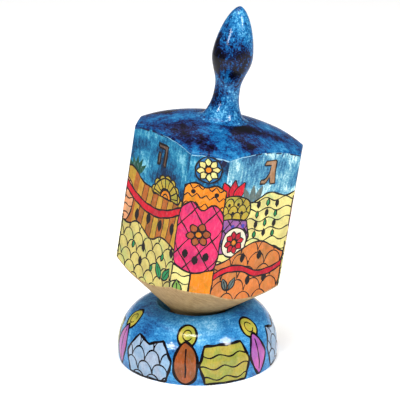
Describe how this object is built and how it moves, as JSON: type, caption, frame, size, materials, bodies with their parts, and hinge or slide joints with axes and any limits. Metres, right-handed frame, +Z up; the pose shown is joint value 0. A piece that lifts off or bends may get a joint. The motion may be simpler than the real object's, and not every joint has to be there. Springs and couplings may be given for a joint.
{
  "type": "spinning top with stand",
  "caption": "Hand-painted wooden dreidel: bevelled block with a turned point and domed top, glued-in turned handle, leaning in a round turned stand.",
  "frame": {"origin": "centre of the stand's flat underside, on the table", "axes": "+Z up; the top leans mostly towards +X, and the reference view looks along +Y"},
  "size_m": [0.0727, 0.0669, 0.1403],
  "materials": {
    "painted_block": "hand-painted under gloss lacquer, bare below the faces",
    "painted_handle": "mottled blue paint under gloss lacquer",
    "painted_stand": "hand-painted under gloss lacquer"
  },
  "bodies": {
    "stand": {"stand": "painted_stand"},
    "dreidel": {"block": "painted_block", "handle": "painted_handle"}
  },
  "joints": [
    {"name": "dreidel_spin", "type": "hinge", "parent": "stand", "child": "dreidel", "pos_m": [-0.00314, -0.00057, 0.013], "axis": [0.1499, 0.0272, 0.9883], "continuous": true}
  ]
}
